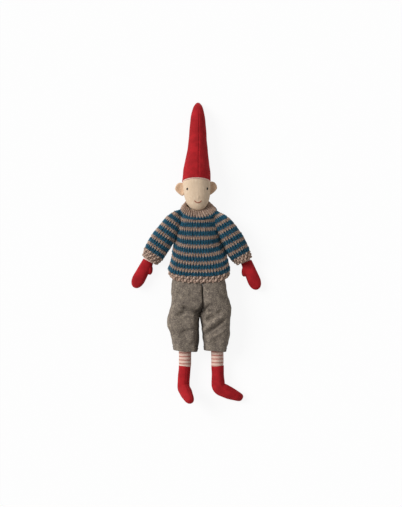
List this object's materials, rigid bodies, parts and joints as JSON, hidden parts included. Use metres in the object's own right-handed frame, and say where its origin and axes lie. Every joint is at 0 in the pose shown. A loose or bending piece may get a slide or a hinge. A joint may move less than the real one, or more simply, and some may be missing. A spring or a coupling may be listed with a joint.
{
  "type": "pixie doll",
  "caption": "Stuffed pixie doll lying on its back, with a tall pointed hat, striped knitted jumper, tweed knee trousers, red mittens and boots, and a head, arms and legs that turn.",
  "frame": {"origin": "on the flat of the jumper's back, where the doll lies, in the middle between its underarms", "axes": "+Y up the doll to the tip of the hat, +X to the right as one looks at its front, +Z out of its front"},
  "size_m": [0.2084, 0.4897, 0.0489],
  "materials": {
    "red_cloth": "felted red cloth, matt",
    "face_linen": "plain natural linen",
    "pale_cloth": "pale pink cotton",
    "blue_knit": "stocking stitch in deep blue and beige yarn",
    "beige_knit": "rib in flecked beige yarn",
    "tweed": "grey-brown flecked tweed",
    "stocking_knit": "cream jersey with muted red stripes",
    "dark_thread": "dark embroidery thread",
    "red_thread": "red-brown embroidery thread",
    "elastic": "woven elastic",
    "filling": "loose polyester filling"
  },
  "bodies": {
    "torso": {"torso_skin": "face_linen", "torso_filling": "filling", "sweater_front": "blue_knit", "sweater_back": "blue_knit", "sweater_neckband": "beige_knit", "sweater_hem": "beige_knit", "trousers_left_seat": "tweed", "trousers_right_seat": "tweed", "trousers_waistband": "tweed", "waist_elastic": "elastic"},
    "head": {"head_left_panel": "face_linen", "head_right_panel": "face_linen", "head_filling": "filling", "left_ear": "face_linen", "right_ear": "face_linen", "left_eye": "dark_thread", "right_eye": "dark_thread", "mouth_stitch": "red_thread", "hat_left_panel": "red_cloth", "hat_right_panel": "red_cloth", "hat_edge": "pale_cloth", "hat_filling": "filling"},
    "left_arm": {"left_sleeve": "blue_knit", "left_cuff": "beige_knit", "left_arm_skin": "pale_cloth", "left_arm_filling": "filling", "left_mitten": "red_cloth", "left_mitten_filling": "filling"},
    "left_leg": {"left_trouser_leg": "tweed", "left_trouser_hem": "tweed", "left_leg_skin": "pale_cloth", "left_leg_filling": "filling", "left_stocking": "stocking_knit", "left_stocking_filling": "filling", "left_boot": "red_cloth", "left_boot_filling": "filling"},
    "right_arm": {"right_sleeve": "blue_knit", "right_cuff": "beige_knit", "right_arm_skin": "pale_cloth", "right_arm_filling": "filling", "right_mitten": "red_cloth", "right_mitten_filling": "filling"},
    "right_leg": {"right_trouser_leg": "tweed", "right_trouser_hem": "tweed", "right_leg_skin": "pale_cloth", "right_leg_filling": "filling", "right_stocking": "stocking_knit", "right_stocking_filling": "filling", "right_boot": "red_cloth", "right_boot_filling": "filling"}
  },
  "joints": [
    {"name": "head_turn", "type": "hinge", "parent": "torso", "child": "head", "pos_m": [-0.004, 0.068, 0.0215], "axis": [0, 1, 0], "range_deg": [-30, 30]},
    {"name": "left_arm_swing", "type": "hinge", "parent": "torso", "child": "left_arm", "pos_m": [-0.0416, 0.045, 0.021], "axis": [0, 0, -1], "range_deg": [-5, 80]},
    {"name": "right_arm_swing", "type": "hinge", "parent": "torso", "child": "right_arm", "pos_m": [0.0366, 0.045, 0.021], "axis": [0, 0, 1], "range_deg": [-5, 80]},
    {"name": "left_leg_swing", "type": "hinge", "parent": "torso", "child": "left_leg", "pos_m": [-0.022, -0.076, 0.019], "axis": [-1, 0, 0], "range_deg": [0, 90]},
    {"name": "right_leg_swing", "type": "hinge", "parent": "torso", "child": "right_leg", "pos_m": [0.024, -0.076, 0.019], "axis": [-1, 0, 0], "range_deg": [0, 90]}
  ]
}
